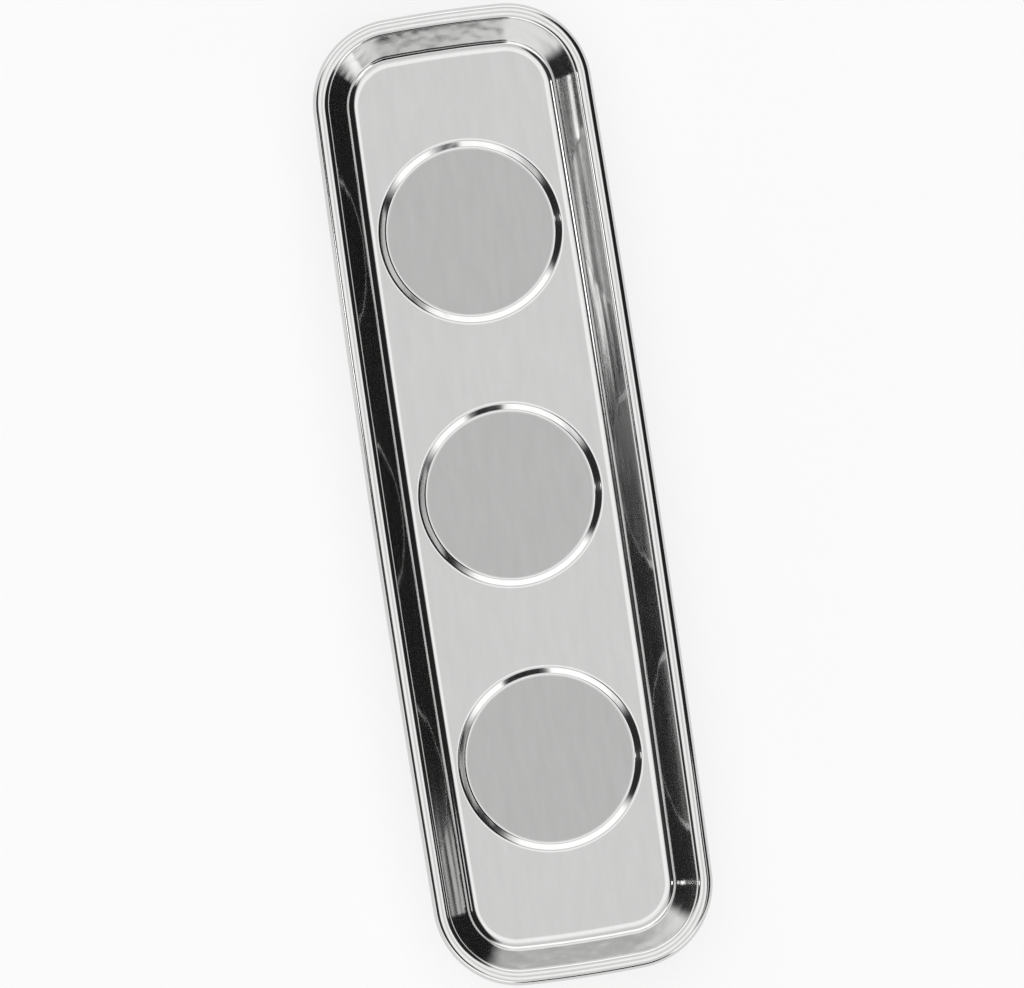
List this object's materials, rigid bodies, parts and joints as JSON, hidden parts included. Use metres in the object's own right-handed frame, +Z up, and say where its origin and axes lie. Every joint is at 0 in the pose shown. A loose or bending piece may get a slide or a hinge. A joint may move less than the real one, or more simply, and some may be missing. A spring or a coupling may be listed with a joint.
{
  "type": "magnetic parts tray",
  "caption": "Long shallow stainless tray with leaning walls and a rolled rim, that holds loose steel parts on sunken pads over rubber-booted ring magnets.",
  "frame": {"origin": "centre of the tray on the surface that the rubber boots stand on", "axes": "+Z up out of the tray, +X along its length"},
  "size_m": [0.36, 0.106, 0.029],
  "materials": {
    "stainless": "polished stainless sheet",
    "ferrite": "ground ferrite",
    "zinc_plate": "zinc plated pressed steel",
    "boot_rubber": "moulded black rubber",
    "zinc_fastener": "bright zinc",
    "spring_steel": "oiled spring steel"
  },
  "bodies": {
    "root": {"tray_shell": "stainless", "ring_magnet_left": "ferrite", "ring_magnet_centre": "ferrite", "ring_magnet_right": "ferrite", "clamp_plate_left": "zinc_plate", "clamp_plate_centre": "zinc_plate", "clamp_plate_right": "zinc_plate", "magnet_boot_left": "boot_rubber", "magnet_boot_centre": "boot_rubber", "magnet_boot_right": "boot_rubber", "weld_stud_left": "zinc_fastener", "weld_stud_centre": "zinc_fastener", "weld_stud_right": "zinc_fastener", "flat_washer_left": "zinc_fastener", "flat_washer_centre": "zinc_fastener", "flat_washer_right": "zinc_fastener", "spring_washer_left": "spring_steel", "spring_washer_centre": "spring_steel", "spring_washer_right": "spring_steel", "lock_nut_left": "zinc_fastener", "lock_nut_centre": "zinc_fastener", "lock_nut_right": "zinc_fastener"}
  },
  "joints": []
}
